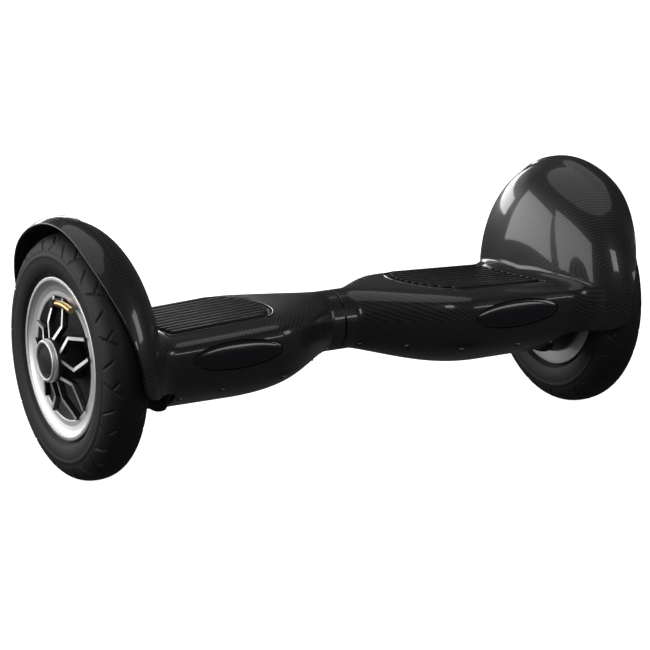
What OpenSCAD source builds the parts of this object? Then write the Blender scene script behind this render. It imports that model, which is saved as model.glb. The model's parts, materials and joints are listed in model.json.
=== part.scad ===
// Self balancing two wheel board with ten inch pneumatic tyres.
// X runs along the axle line, the lamps face -Y and Z is up.
// The origin is on the floor, midway between the wheels.

/* [Wheels] */
// Outer diameter of the tyre
tyre_d = 254; // [240:1:262]
// Width of the tyre across its sidewalls
tyre_w = 50; // [44:1:54]
// Distance between the centre planes of the two tyres
track = 592.2; // [584:0.1:640]
// Diameter over the rim flange
rim_d = 167.8; // [160:0.1:176]
// Thickness of the tyre carcass
tyre_wall = 5; // [4:0.5:7]
// Number of forked spokes in a rim
spoke_count = 5; // [4:1:7]

/* [Hub motor] */
// Diameter of the fixed axle
axle_d = 15; // [14:0.5:16]
// Outer diameter of the stator
stator_d = 112; // [96:1:114]
// Radial air gap between stator and magnets
air_gap = 0.6; // [0.4:0.1:1]
// Outer diameter of the wheel bearings
bearing_d = 35; // [32:1:37]
// Width of the wheel bearings
bearing_w = 11; // [9:1:12]

/* [Body shell] */
// Front to back depth of the body
body_depth = 208; // [200:1:216]
// Wall thickness of the plastic shells
wall = 3; // [2.5:0.1:3.4]
// Radial distance from the pivot tube to the outside of the waist collar
collar_gap = 13; // [12:0.5:15]
// Depth of the belly below the axle line
belly_h = 60; // [58:0.5:66]
// Fall of the deck towards the wheel, mm per mm
deck_slope = 0.046; // [0.03:0.001:0.06]
// Gap between the upper and lower shells at the seam
seam_gap = 0.2; // [0.1:0.1:0.4]

/* [Fender] */
// Radial distance from the tread to the outside of the fender crown
fender_gap = 17.3; // [15:0.1:22]
// Distance of the fender crown outside the centre plane of the wheel
crown_shift = 7.9; // [5:0.1:11]
// Width of the outer band past the crown
lip_w = 15; // [10:0.5:16]

/* [Foot pads] */
// Half width of a foot pad, front to back
pad_half_w = 71.6; // [66:0.1:74]
// Distance of the inner tip of a pad from the middle
pad_tip_x = 88.2; // [86:0.1:94]
// Distance from the outer end of a pad to the centre plane of the wheel
pad_stop = 71.1; // [70:0.1:76]
// Thickness of the rubber sheet under the ribs
pad_base = 4; // [3:0.5:5]
// Number of ribs on a pad
rib_count = 11; // [7:1:13]
// Travel of a pad when someone steps on
pad_travel = 2; // [1:0.5:2.5]

/* [Lamps] */
// Length of a lamp lens
lamp_len = 102.4; // [90:0.1:106]
// Height of a lamp lens
lamp_h = 29; // [24:0.5:32]
// Distance of the lamp centre from the middle
lamp_x = 166.9; // [160:0.1:170]

/* [Pivot] */
// Outer diameter of the steel pivot tube
pivot_d = 38; // [34:1:40]
// Wall of the pivot tube
pivot_wall = 3; // [2.5:0.5:4]
// Radial running clearance of the tube in its bushes
run_fit = 0.05; // [0.03:0.01:0.09]

/* [Power and charging] */
// Diameter of the power button cap
button_d = 16; // [14:0.5:18]
// Travel of the power button
button_travel = 1.5; // [1:0.1:2]
// Bore of the charging socket
charge_bore_d = 12; // [10:0.5:13]

/* [Hidden] */
$fn = 72;

axle_z = tyre_d / 2;
wheel_x = track / 2;
small = 0.2;
touch = 0.02;
waist_r = pivot_d / 2 + collar_gap;
crown_r = tyre_d / 2 + fender_gap;
crown_x = wheel_x + crown_shift;
pad_end_x = wheel_x - pad_stop;

// Body curves, all measured from the axle line
collar_x = 16;
collar_start = 1.5;
full_depth_x = 121;
full_belly_x = 150;
deck_start = 45;
square_x = 90;
top_power = 4.5;
belly_power = 2.2;
body_end_x = wheel_x - 65.1;

// Fender dome, a superellipse that starts at the deck and ends at the crown
dome_w = 66;
dome_r0 = 20;
dome_power = 2.3;
bead_h = 3.3;
bead_x = crown_x - 16;
band_fall = 5.3;
band_stretch = 2;
foot_x = wheel_x - 56.1;
front_lip_x = crown_x - 17;
fillet_top = 9;
fillet_front = 20;

// Clearances and small features of the shells
pad_gap = 0.6;
lens_gap = 0.3;
plate_gap = 0.6;
post_gap = 0.8;
joint_gap = 0.15;
pad_hole_z = 10;
pad_nose = 34.5;
pad_shoulder_x = pad_tip_x + pad_nose;
pad_mid_x = (pad_shoulder_x + pad_end_x) / 2;
pad_sink = 1;
rib_w = 6.4;
rib_h = 2.2;
rib_span = pad_half_w - 9;
lens_deep = 7;
lens_bow_r = 46;
lens_y = -body_depth / 2 - 0.6;

// Screws from below, each [x, y] on the front half and repeated at the back
screw_points = [[20, 22], [58, 56], [107, 86], [wheel_x - 118.1, 86], [wheel_x - 73.1, 80]];
screw_r = 1.5;
screw_head_r = 2.8;
screw_head_h = 1.6;
screw_sink = 1.4;
waist_screw_len = 12;
shell_screw_len = 18;
post_r = 4.5;
// Flats of the coarse shell skin stand in this far under a post near its steep edge
edge_gap = 3.2;

// Frame
boss_x0 = 6;
boss_x1 = 62;
boss_r = pivot_d / 2 + 7;
plate_z = 4;
plate_t = 4;
plate_half_w = 60;
saddle_x0 = wheel_x - 104.1;
saddle_x1 = wheel_x - 66.1;
saddle_half_w = 24;
saddle_top = 15;
clamp_t = 14;
bolt_x = [saddle_x0 + 7, saddle_x1 - 7];
bolt_y = 16.5;
bolt_r = 3;
bolt_top = 12;
bolt_head_r = 5;
bolt_head_h = 5;
arch_x = body_end_x + 0.7;
arch_t = 3.3;
lug_h = 5;
lug_a = 318;
lug_spread = 18;

// Boards and switches under the pads
board_x0 = 128;
board_x1 = 168;
board_half_w = 54;
board_z = 10;
board_t = 1.6;
board_post_x = [132, 164];
switch_x = 148;
switch_y = 38;
switch_top = 17.6;
blade_z = 15.6;

// Pivot
tube_left = 58;
tube_right = 66;
ring_half = 1.2;
ring_r = waist_r - 1.1;
bush_wall = 3;
bush_r = pivot_d / 2 + bush_wall;
circlip_x = boss_x1 + 0.5;
circlip_t = 2;
circlip_r = boss_r - 2.5;
groove_depth = 1.5;

// Wheel
rim_r = rim_d / 2;
rim_half = 20.5;
rim_in = wheel_x - rim_half;
rim_out = wheel_x + rim_half;
lip_t = 2.5;
seat_r = rim_r - 4.7;
drop_h = 3;
dish_r = rim_r - 5;
dish_fall = 4.6;
bead_in = 10.5;
bead_foot = 15.3;
bead_neck = 17.3;
tyre_core_r = tyre_d / 2 - tyre_w / 2;
tyre_round = 2.3;
tube_r = tyre_w / 2 - tyre_wall - 1.5;
tube_rise = 1.3;
tube_wall = 2;
stator_x0 = wheel_x - 16.5;
stator_x1 = wheel_x - 3;
magnet_in = stator_d / 2 + air_gap;
magnet_t = 3.4;
drum_r = magnet_in + magnet_t + touch;
recess_r = drum_r + 3;
cover_x0 = wheel_x - 1.9;
cover_x1 = cover_x0 + 2.8;
hub_r = 22.5;
hub_face_x = rim_out + 17.3;
bearing_bore_r = axle_d / 2 + run_fit;
outer_bearing_x = cover_x1 + 1;
inner_bearing_x = rim_in - bearing_w - 0.3;
axle_start = saddle_x0 - 2;
axle_end = hub_face_x - 12;
axle_flat = 6;
cable_bore = 4;
cap_t = 4.4;
spoke_x = rim_out - 7.6;
spoke_t = 6;
spoke_w = 3.6;
spoke_a = 17;
elbow_r = 40;
elbow_a = 24;
root_a = 8;
tip_a = 9;
valve_x = wheel_x + 5.9;
valve_a = 88;
valve_r = 4.2;
boot_r = 4.5;
boot_at = recess_r - boot_r - 0.4;
boot_x = rim_out + 7;
stem_r = 3.4;
stem_x = rim_out + stem_r;
stem_len = 38;
stem_tilt = 3;

// Power button and charging socket on the back of the right half
port_z = -14;
button_x = 136;
charge_x = 160;
button_back = body_depth / 2 - 14;
bezel_r = 11;
socket_r = 9.5;
flange_y = body_depth / 2 + 0.1;
flange_t = 1;
hinge_z = port_z + 11.6;
hinge_y = flange_y + 2.6;
hinge_pin_r = 0.8;
ear_gap = 6.5;

// Battery, boards and wiring
bay_x0 = 84;
bay_x1 = 186;
bay_top = -6;
pack_h = 36;
pack_half_w = 44;
pack_round = 6;
strap_x0 = 126;
strap_x1 = 144;
strap_t = 1.5;
main_x0 = 70;
board_end_x = 176;
main_z = -30;
main_half_w = 40;
main_post_x = [88, 168];
loom_r = 5;
loom_end = tube_right + 0.6;
charge_depth = 8;

// Shares of a shell's length given to the body, the fillet and the fender
body_share = 0.42;
fillet_share = 0.16;
shell_rows = 24;
upper_steps = 15;
lower_steps = 12;

function lerp(a, b, t) = a + (b - a) * t;
function clamp01(t) = max(0, min(1, t));
function ease(t) = let (u = clamp01(t)) u * u * (3 - 2 * u);
function swell(x, x1, p) = pow(sin(90 * clamp01((x - collar_x) / (x1 - collar_x))), p);

// Half depth, height above and height below the axle line at distance x
function half_depth(x) = lerp(waist_r, body_depth / 2, swell(x, full_depth_x, 1.2));
function deck_h(x) = waist_r - deck_slope * max(0, x - deck_start);
function belly(x) = lerp(waist_r, belly_h, swell(x, full_belly_x, 1.15));
function squareness(x, up) =
    lerp(2, up ? top_power : belly_power, clamp01((x - collar_x) / (square_x - collar_x)));

// Radius of the body at distance x and angle a, where 0 is front and 90 is up
function body_r(x, a) =
    let (up = sin(a) >= 0, n = squareness(x, up), h = up ? deck_h(x) : belly(x))
    pow(pow(abs(cos(a)) / half_depth(x), n) + pow(abs(sin(a)) / h, n), -1 / n);

// Fender dome by its own parameter p, from 0 at the deck to 90 at the crown
function dome_top() = crown_r - bead_h - dome_r0;
function dome_x(p) = crown_x - dome_w * pow(abs(cos(p)), 2 / dome_power);
function dome_r(p) = dome_r0 + dome_top() * pow(abs(sin(p)), 2 / dome_power);
function dome_p(r) = asin(clamp01(pow(max(0, r - dome_r0) / dome_top(), dome_power / 2)));
function dome_p_at(x) = acos(clamp01(pow(max(0, crown_x - x) / dome_w, dome_power / 2)));

// Height above the horizon, so that front and back share one rule
function rise(a) = asin(sin(a));
function bead(x, a) = bead_h * ease((x - bead_x) / 8) * ease((rise(a) - 30) / 30);
function lip_x(a) = lerp(front_lip_x, crown_x + lip_w, ease((rise(a) + 12) / 72));
function fillet(a) = lerp(fillet_top, fillet_front, pow(cos(a), 2));

// One point [x, r] of the profile at angle a, v from 0 at the waist to 3 at the lip
function profile(v, a) =
    let (rb = body_r(foot_x, a),
        pi = dome_p(rb),
        xi = dome_x(pi),
        d = fillet(a),
        p2 = dome_p(rb + d),
        x0 = xi - d)
    v <= 1 ? let (x = lerp(collar_start, x0, v)) [x, body_r(x, a)]
    : v <= 2 ? let (t = v - 1, q0 = [x0, body_r(x0, a)], q1 = [xi, rb], q2 = [dome_x(p2), dome_r(p2)])
        q0 * (1 - t) * (1 - t) + q1 * 2 * t * (1 - t) + q2 * t * t
    : fender_point((v - 2) * fender_run(a, p2), a, p2);
function fender_run(a, p2) =
    lip_x(a) < crown_x ? dome_p_at(lip_x(a)) - p2 : 90 - p2 + band_stretch * (lip_x(a) - crown_x);
function fender_point(w, a, p2) =
    w <= 90 - p2 ? let (x = dome_x(p2 + w)) [x, dome_r(p2 + w) + bead(x, a)]
    : let (dx = (w - 90 + p2) / band_stretch)
        [crown_x + dx, crown_r - bead_h + bead(crown_x, a) - band_fall * pow(dx / 15, 2)];

// The lower shell ends at the body end, except at its front and back corners
function last_v(a) = lerp(3, 1, ease((-6 - rise(a)) / 16));
function share(t) =
    t < body_share ? t / body_share
    : t < body_share + fillet_share ? 1 + (t - body_share) / fillet_share
    : 2 + (t - body_share - fillet_share) / (1 - body_share - fillet_share);
function skin(t, a) =
    let (k = last_v(a), q = profile(k * lerp(t, share(t) / 3, (k - 1) / 2), a))
    [q.x, -q.y * cos(a), q.y * sin(a)];
function skin_normal(t, a) =
    let (e = 0.004, t0 = max(0, t - e), t1 = min(1, t + e),
        n = cross(skin(t, a - 0.4) - skin(t, a + 0.4), skin(t1, a) - skin(t0, a)))
    n / norm(n);
function flat_seam(p, a) = abs(sin(a)) < 0.001 ? [p.x, p.y, 0] : p;
function inner_skin(t, a) = flat_seam(skin(t, a) - skin_normal(t, a) * wall, a);

// Angles bunch towards the seam, where the shoulder of the body turns fastest
function quarter(i, n) = 90 * pow(i / n, 1.5);
function upper_angles(n) =
    [for (i = [0:2 * n]) i <= n ? quarter(i, n) : 180 - quarter(2 * n - i, n)];
function lower_angles(n) =
    [for (i = [0:2 * n]) i <= n ? 180 + quarter(i, n) : 360 - quarter(2 * n - i, n)];

// Two triangles of a grid cell, flipped where the face looks the other way
function cell(a, b, c, d, flip) = flip ? [[a, c, b], [a, d, c]] : [[a, b, c], [a, c, d]];

module shell_solid(angles) {
    cols = len(angles);
    rows = shell_rows + 1;
    outer = [for (a = angles) for (k = [0:shell_rows]) flat_seam(skin(k / shell_rows, a), a)];
    inner = [for (a = angles) for (k = [0:shell_rows]) inner_skin(k / shell_rows, a)];
    base = cols * rows;
    sheets = [for (s = [0, 1]) for (i = [0:cols - 2]) for (k = [0:rows - 2])
        let (p = s * base + i * rows + k)
        each cell(p, p + 1, p + rows + 1, p + rows, s == 1)];
    ends = [for (s = [0, 1]) for (i = [0:cols - 2])
        let (p = i * rows + s * (rows - 1))
        each cell(p, p + rows, p + rows + base, p + base, s == 1)];
    seams = [for (s = [0, 1]) for (k = [0:rows - 2])
        let (p = s * (cols - 1) * rows + k)
        each cell(p, p + base, p + base + 1, p + 1, s == 1)];
    polyhedron(concat(outer, inner), concat(sheets, ends, seams));
}

// Places a right hand piece, drawn from the axle line, or its mirror image
module side(s) {
    translate([0, 0, axle_z])
        if (s > 0) children();
        else mirror([1, 0, 0]) children();
}
module along_x(x0, x1, r) translate([x0, 0, 0]) rotate([0, 90, 0]) cylinder(r = r, h = x1 - x0);
module ring_x(x0, x1, r_out, r_in) difference() {
    along_x(x0, x1, r_out);
    along_x(x0 - 1, x1 + 1, r_in);
}
module block(x0, x1, y0, y1, z0, z1) translate([x0, y0, z0]) cube([x1 - x0, y1 - y0, z1 - z0]);
module post(x, y, z0, z1, r) translate([x, y, z0]) cylinder(r = r, h = z1 - z0);
// Turns a profile of [r, x] points about the axle line
module turned_x(points) rotate([0, 90, 0]) rotate_extrude($fn = 96) polygon(points);

// Outline helpers
module along_y(x, z, y0, y1, r) translate([x, y1, z]) rotate([90, 0, 0]) cylinder(r = r, h = y1 - y0);
module on_yz(x0, x1) translate([x0, 0, 0]) rotate([90, 0, 90]) linear_extrude(x1 - x0) children();
module mirror_y() {
    children();
    mirror([0, 1, 0]) children();
}
module lamp_oval(grow, y0, y1) translate([lamp_x, y1, 0]) rotate([90, 0, 0]) linear_extrude(y1 - y0)
    polygon([for (a = [0:10:350])
        [(lamp_len / 2 + grow) * cos(a), (lamp_h / 2 + grow) * sin(a)]]);
function pad_outline(grow) = concat(
    [[pad_end_x + grow, pad_half_w + grow]],
    [for (a = [90:10:270]) [pad_shoulder_x + (pad_nose + grow) * cos(a), (pad_half_w + grow) * sin(a)]],
    [[pad_end_x + grow, -pad_half_w - grow]]);

// Underside of the belly and top of the deck at a given distance from the centre plane
function bow(y, x, h, n) = h * pow(max(0, 1 - pow(abs(y) / half_depth(x), n)), 1 / n);
function belly_drop(x, y) = bow(y, x, belly(x), squareness(x, false));
function deck_rise(x, y) = bow(y, x, deck_h(x), squareness(x, true));
// Inner face of the wall under or over a point, found by stepping out along the wall's normal
function inner_drop(x, y) =
    let (mx = belly_drop(x, y) - belly_drop(x - 1, y), my = belly_drop(x, y) - belly_drop(x, y + 1),
        k = sqrt(1 + mx * mx + my * my))
    belly_drop(x - wall * mx / k, y + wall * my / k) - wall / k - post_gap;
function inner_rise(x, y) =
    let (mx = deck_rise(x, y) - deck_rise(x - 1, y), my = deck_rise(x, y) - deck_rise(x, y + 1),
        k = sqrt(1 + mx * mx + my * my))
    deck_rise(x - wall * mx / k, y + wall * my / k) - wall / k - post_gap;
function screw_seat(p) = -belly_drop(p.x, p.y) + screw_sink;
function screw_tip(p) = screw_seat(p) + (p.y < boss_r ? waist_screw_len : shell_screw_len);

module right_upper() difference() {
    shell_solid(upper_angles(upper_steps));
    translate([0, 0, pad_hole_z]) linear_extrude(2 * pad_hole_z) polygon(pad_outline(pad_gap));
    lamp_oval(lens_gap, -body_depth, -body_depth / 2 + lens_deep + 10);
}
module right_lower(rear_holes) difference() {
    translate([0, 0, -seam_gap]) shell_solid(lower_angles(lower_steps));
    lamp_oval(lens_gap, -body_depth, -body_depth / 2 + lens_deep + 10);
    mirror_y() for (p = screw_points) {
        post(p.x, p.y, -belly_h - 10, screw_tip(p) + 1, screw_r + 0.2);
        post(p.x, p.y, -belly_h - 10, screw_seat(p), screw_head_r + 0.2);
    }
    if (rear_holes) {
        along_y(button_x, port_z, button_back, body_depth, bezel_r + small);
        along_y(charge_x, port_z, button_back, body_depth, socket_r + small);
    }
}

module right_arch_plate_body() difference() {
    on_yz(arch_x, arch_x + arch_t) polygon([for (a = [0:5:355]) plate_point(a)]);
    along_x(arch_x - 1, arch_x + arch_t + 1, axle_d / 2 + 1.5);
}
function inner_r(a) =
    let (up = sin(a) >= 0, n = squareness(body_end_x, up), gap = wall + plate_gap,
        h = (up ? deck_h(body_end_x) : belly(body_end_x)) - gap)
    pow(pow(abs(cos(a)) / (half_depth(body_end_x) - gap), n) + pow(abs(sin(a)) / h, n), -1 / n);
function plate_point(a) =
    let (r = lerp(inner_r(a), body_r(body_end_x, a), ease((-rise(a) - 30) / 12)),
        lug = lug_h * max(0, cos(clamp01(abs(a - lug_a) / lug_spread) * 90)))
    [-(r + lug) * cos(a), (r + lug) * sin(a)];

// Cast frame: pivot boss, deck plate, side rails, axle saddle and screw posts
module right_frame(bore_r, relief_r, relief_x) difference() {
    union() {
        along_x(boss_x0, boss_x1, boss_r);
        block(boss_x0 + 24, boss_x1, -34, 34, plate_z, plate_z + plate_t);
        block(boss_x1 - 4, saddle_x1, -plate_half_w, plate_half_w, plate_z, plate_z + plate_t);
        block(saddle_x0, saddle_x1, -saddle_half_w, saddle_half_w, joint_gap, saddle_top);
        mirror_y() {
            block(70, saddle_x1 - 2, plate_half_w - 4, plate_half_w, -14, plate_z + 1);
            for (p = [screw_points[2], screw_points[3], screw_points[4]])
                block(p.x - 6, p.x + 6, plate_half_w - 2, p.y, -4, 0);
            translate([screw_points[1].x, 0, plate_z]) block(-6, 6, 30, screw_points[1].y, 0, plate_t);
            for (p = screw_points) screw_post(p);
            for (x = board_post_x) post(x, board_half_w - 5, plate_z + 1, board_z - touch, 3);
        }
    }
    along_x(boss_x0 - 1, boss_x1, bore_r);
    along_x(boss_x1 - touch, relief_x, relief_r);
    axle_flats(axle_start - 1, saddle_x1 + 1, touch);
    mirror_y() {
        for (x = bolt_x) post(x, bolt_y, -1, bolt_top, bolt_r + touch);
        for (p = screw_points) post(p.x, p.y, -belly_h, screw_tip(p) + 1, screw_r + touch);
    }
}
module screw_post(p) {
    z0 = -inner_drop(p.x - post_r, p.y + post_r) + (p.y > plate_half_w ? edge_gap : 0);
    z1 = inner_rise(p.x - post_r, p.y + post_r);
    post(p.x, p.y, z0, p.x < boss_x0 + 30 ? 0 : z1, post_r);
}
module axle_flats(x0, x1, grow) intersection() {
    along_x(x0, x1, axle_d / 2 + grow);
    block(x0, x1, -axle_d, axle_d, -axle_flat - grow, axle_flat + grow);
}
module right_clamp_body() difference() {
    block(saddle_x0, saddle_x1, -saddle_half_w, saddle_half_w, -clamp_t, -joint_gap);
    axle_flats(saddle_x0 - 1, saddle_x1 + 1, touch);
    mirror_y() for (x = bolt_x) post(x, bolt_y, -clamp_t - 1, 1, bolt_r + touch);
}
module right_clamp_bolt_group() mirror_y() for (x = bolt_x) difference() {
    union() {
        post(x, bolt_y, -clamp_t - bolt_head_h, -clamp_t, bolt_head_r);
        post(x, bolt_y, -clamp_t - 0.01, bolt_top - 1, bolt_r);
    }
    translate([x, bolt_y, -clamp_t - bolt_head_h - 1]) cylinder(r = bolt_r * 0.9, h = 4, $fn = 6);
}
module right_screw_group() mirror_y() for (p = screw_points) difference() {
    union() {
        post(p.x, p.y, screw_seat(p) - screw_head_h, screw_seat(p), screw_head_r);
        post(p.x, p.y, screw_seat(p) - 0.01, screw_tip(p), screw_r);
    }
    translate([p.x, p.y, screw_seat(p) - screw_head_h - 1]) cylinder(r = 1.3, h = 2.2, $fn = 6);
}

// Rubber pad: ribbed sheet on two blades that reach into the switches
module right_pad_body() {
    tilt = atan(deck_slope);
    translate([pad_mid_x, 0, deck_h(pad_mid_x)]) rotate([0, tilt, 0]) translate([-pad_mid_x, 0, 0]) {
        translate([0, 0, -pad_sink - pad_base]) linear_extrude(pad_base) polygon(pad_outline(0));
        for (i = [0:rib_count - 1]) pad_rib(lerp(-rib_span, rib_span, i / (rib_count - 1)));
    }
    mirror_y() block(switch_x - 5, switch_x + 5, switch_y - 1.3, switch_y + 1.3, blade_z,
        deck_h(switch_x) - pad_sink - pad_base + 1);
}
module pad_rib(y) {
    x0 = pad_shoulder_x - pad_nose * sqrt(max(0, 1 - pow((abs(y) + 3) / pad_half_w, 2))) + 5;
    block(x0, pad_end_x - 4, y - rib_w / 2, y + rib_w / 2, -pad_sink - 1, rib_h - pad_sink);
}
module right_board_body() difference() {
    block(board_x0, board_x1, -board_half_w, board_half_w, board_z, board_z + board_t);
    mirror_y() for (x = board_post_x) post(x, board_half_w - 5, board_z - 1, board_z + 3, 1.2);
}
module right_switch_group() mirror_y() {
    z = board_z + board_t + touch;
    block(switch_x - 8, switch_x + 8, switch_y - 6, switch_y + 6, z, z + 1.4);
    for (d = [-6, 3.5])
        block(switch_x - 8, switch_x + 8, switch_y + d, switch_y + d + 2.5, z + 1.38, switch_top);
}
module right_lens_body() intersection() {
    lamp_oval(0, lens_y, lens_y + lens_deep);
    translate([0, lens_y + lens_bow_r, 0]) along_x(lamp_x - lamp_len, lamp_x + lamp_len, lens_bow_r);
}
module right_lamp_board_body() {
    y = lens_y + lens_deep + touch;
    block(lamp_x - 40, lamp_x + 40, y, y + 1.5, -7, 7);
    for (i = [-2:2]) block(lamp_x + i * 16 - 3, lamp_x + i * 16 + 3, y + 1.48, y + 3.4, -3, 3);
}

// Wheel pieces, all turned about the axle line
module right_axle_body() difference() {
    union() {
        along_x(saddle_x1 + 2, axle_end, axle_d / 2);
        axle_flats(axle_start, saddle_x1 + 2.01, 0);
    }
    along_x(axle_start - 1, stator_x0 + 4, cable_bore);
}
module right_rim_body() {
    difference() {
        turned_x([[drum_r, rim_in], [rim_r, rim_in], [rim_r, rim_in + lip_t], [seat_r, rim_in + lip_t + 2],
            [seat_r, rim_in + 13], [seat_r - drop_h, rim_in + 16], [seat_r - drop_h, rim_out - 16],
            [seat_r, rim_out - 13], [seat_r, rim_out - lip_t - 2], [rim_r, rim_out - lip_t],
            [rim_r, rim_out], [dish_r, rim_out], [recess_r, rim_out - dish_fall], [recess_r, cover_x0],
            [drum_r, cover_x0]]);
        valve_turn() cylinder(r = valve_r, h = rim_r);
    }
    difference() {
        union() {
            along_x(cover_x1 + touch, hub_face_x, hub_r);
            for (i = [0:spoke_count - 1]) for (s = [-1, 1])
                on_yz(spoke_x, spoke_x + spoke_t) polygon(fork_arm(spoke_a + i * 360 / spoke_count, s));
        }
        along_x(cover_x1 - 1, hub_face_x + 1, bearing_d / 2 + touch);
    }
}
// Outline of one arm of a forked spoke on the axle's [y, z] plane: root, elbow and tip
function polar(r, a) = [-r * cos(a), r * sin(a)];
function fork_arm(a, s) =
    let (p = polar(hub_r - 2, a + s * root_a), q = polar(elbow_r, a + s * elbow_a),
        r = polar(recess_r + 1.2, a + s * tip_a), k = spoke_w / 2,
        m = across(q - p), n = across(r - q), mitre = (m + n) / (1 + m * n))
    [p + m * k, q + mitre * k, r + n * k, r - n * k, q - mitre * k, p - m * k];
function across(v) = [-v.y, v.x] / norm(v);

function tyre_arc(w, h, rc, n) = [for (a = [-40:13:220])
    [rc + h * sign(sin(a)) * pow(abs(sin(a)), 2 / n), wheel_x + w * sign(cos(a)) * pow(abs(cos(a)), 2 / n)]];
module right_tyre_body() difference() {
    turned_x(concat(
        [[seat_r + small, wheel_x + bead_in], [seat_r + small, wheel_x + bead_foot],
            [rim_r + 0.4, wheel_x + bead_neck]],
        tyre_arc(tyre_w / 2, tyre_d / 2 - tyre_core_r, tyre_core_r, tyre_round),
        [[rim_r + 0.4, wheel_x - bead_neck], [seat_r + small, wheel_x - bead_foot],
            [seat_r + small, wheel_x - bead_in]]));
    turned_x(concat(
        [[seat_r - 1, wheel_x + bead_in], [rim_r + 3, wheel_x + bead_in]],
        tyre_arc(tyre_w / 2 - tyre_wall, tyre_d / 2 - tyre_core_r - tyre_wall, tyre_core_r, tyre_round),
        [[rim_r + 3, wheel_x - bead_in], [seat_r - 1, wheel_x - bead_in]]));
}
module valve_turn() translate([valve_x, 0, 0]) rotate([90 - valve_a, 0, 0]) children();

module right_inner_tube_body() difference() {
    union() {
        translate([wheel_x, 0, 0]) rotate([0, 90, 0]) rotate_extrude($fn = 96)
            translate([tyre_core_r + tube_rise, 0]) circle(r = tube_r);
        valve_turn() {
            translate([0, 0, boot_at]) cylinder(r = valve_r - small, h = tyre_core_r - 4 - boot_at);
            translate([0, 0, boot_at]) along_x(-boot_r, boot_x - valve_x, boot_r);
        }
    }
    translate([wheel_x, 0, 0]) rotate([0, 90, 0]) rotate_extrude($fn = 96)
        translate([tyre_core_r + tube_rise, 0]) circle(r = tube_r - tube_wall);
}
module right_valve_stem_body() valve_turn() translate([stem_x - valve_x, -boot_r - touch, boot_at])
    rotate([90 + stem_tilt, 0, 0]) cylinder(r = stem_r, h = stem_len);
module right_cover_pair() {
    ring_x(cover_x0, cover_x1, recess_r - small, axle_d / 2 + 1.5);
    difference() {
        union() {
            along_x(inner_bearing_x - 1.5, rim_in - touch, hub_r);
            along_x(rim_in - 4, rim_in - touch, drum_r + 9);
        }
        along_x(inner_bearing_x, rim_in + 1, bearing_d / 2 + touch);
        along_x(inner_bearing_x - 3, rim_in + 1, axle_d / 2 + 1.5);
    }
}
module right_stator_body() difference() {
    along_x(stator_x0, stator_x1, stator_d / 2);
    along_x(stator_x0 - 1, stator_x1 + 1, axle_d / 2 + touch);
    for (i = [0:17]) rotate([i * 20, 0, 0])
        block(stator_x0 - 1, stator_x1 + 1, stator_d / 2 - 16, stator_d / 2 - 2, -2.6, 2.6);
    for (i = [0:5]) rotate([i * 60, 0, 0])
        translate([stator_x0 - 1, 0, 24]) rotate([0, 90, 0]) cylinder(r = 7, h = stator_x1 - stator_x0 + 2);
}
module right_bearing_pair() for (x = [inner_bearing_x + touch, outer_bearing_x])
    ring_x(x, x + bearing_w, bearing_d / 2, bearing_bore_r);
module right_hub_cap_body() {
    along_x(hub_face_x - cap_t - 0.6, hub_face_x - 0.6, bearing_d / 2);
    along_x(hub_face_x - 0.61, hub_face_x, bearing_d / 2 - 2);
}
module right_cable_body() {
    along_x(board_end_x - 8, stator_x0 + 3.5, cable_bore - 1);
}
module left_upper_shell() color("dimgray") side(-1) right_upper();
module right_upper_shell() color("dimgray") side(1) right_upper();
module left_lower_shell() color("gray") side(-1) right_lower(false);
module right_lower_shell() color("gray") side(1) right_lower(true);
module left_arch_plate() color("black") side(-1) right_arch_plate_body();
module right_arch_plate() color("black") side(1) right_arch_plate_body();
module left_chassis() color("silver") side(-1) right_frame(pivot_d / 2 + touch, 17, 86);
module right_chassis() color("silver") side(1) right_frame(bush_r + touch, circlip_r + 1, boss_x1 + 6);
module left_foot_pad() color("black") side(-1) right_pad_body();
module right_foot_pad() color("black") side(1) right_pad_body();
module left_foot_switches() color("red") side(-1) right_switch_group();
module right_foot_switches() color("red") side(1) right_switch_group();
module left_balance_board() color("green") side(-1) right_board_body();
module right_balance_board() color("green") side(1) right_board_body();
module left_lamp_lens() color("slategray") side(-1) right_lens_body();
module right_lamp_lens() color("slategray") side(1) right_lens_body();
module left_lamp_board() color("green") side(-1) right_lamp_board_body();
module right_lamp_board() color("green") side(1) right_lamp_board_body();
module left_axle() color("silver") side(-1) right_axle_body();
module right_axle() color("silver") side(1) right_axle_body();
module left_axle_clamp() color("silver") side(-1) right_clamp_body();
module right_axle_clamp() color("silver") side(1) right_clamp_body();
module left_clamp_bolts() color("black") side(-1) right_clamp_bolt_group();
module right_clamp_bolts() color("black") side(1) right_clamp_bolt_group();
module left_rim() color("silver") side(-1) right_rim_body();
module right_rim() color("silver") side(1) right_rim_body();
module left_tyre() color("black") side(-1) right_tyre_body();
module right_tyre() color("black") side(1) right_tyre_body();
module left_inner_tube() color("black") side(-1) right_inner_tube_body();
module right_inner_tube() color("black") side(1) right_inner_tube_body();
module left_valve_stem() color("gold") side(-1) right_valve_stem_body();
module right_valve_stem() color("gold") side(1) right_valve_stem_body();
module left_motor_covers() color("black") side(-1) right_cover_pair();
module right_motor_covers() color("black") side(1) right_cover_pair();
module left_stator() color("orange") side(-1) right_stator_body();
module right_stator() color("orange") side(1) right_stator_body();
module left_magnet_ring() color("gray") side(-1)
    ring_x(stator_x0 - 0.5, stator_x1 + 0.5, magnet_in + magnet_t, magnet_in);
module right_magnet_ring() color("gray") side(1)
    ring_x(stator_x0 - 0.5, stator_x1 + 0.5, magnet_in + magnet_t, magnet_in);
module left_bearings() color("silver") side(-1) right_bearing_pair();
module right_bearings() color("silver") side(1) right_bearing_pair();
module left_hub_cap() color("black") side(-1) right_hub_cap_body();
module right_hub_cap() color("black") side(1) right_hub_cap_body();
module left_shell_screws() color("silver") side(-1) right_screw_group();
module right_shell_screws() color("silver") side(1) right_screw_group();

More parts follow.
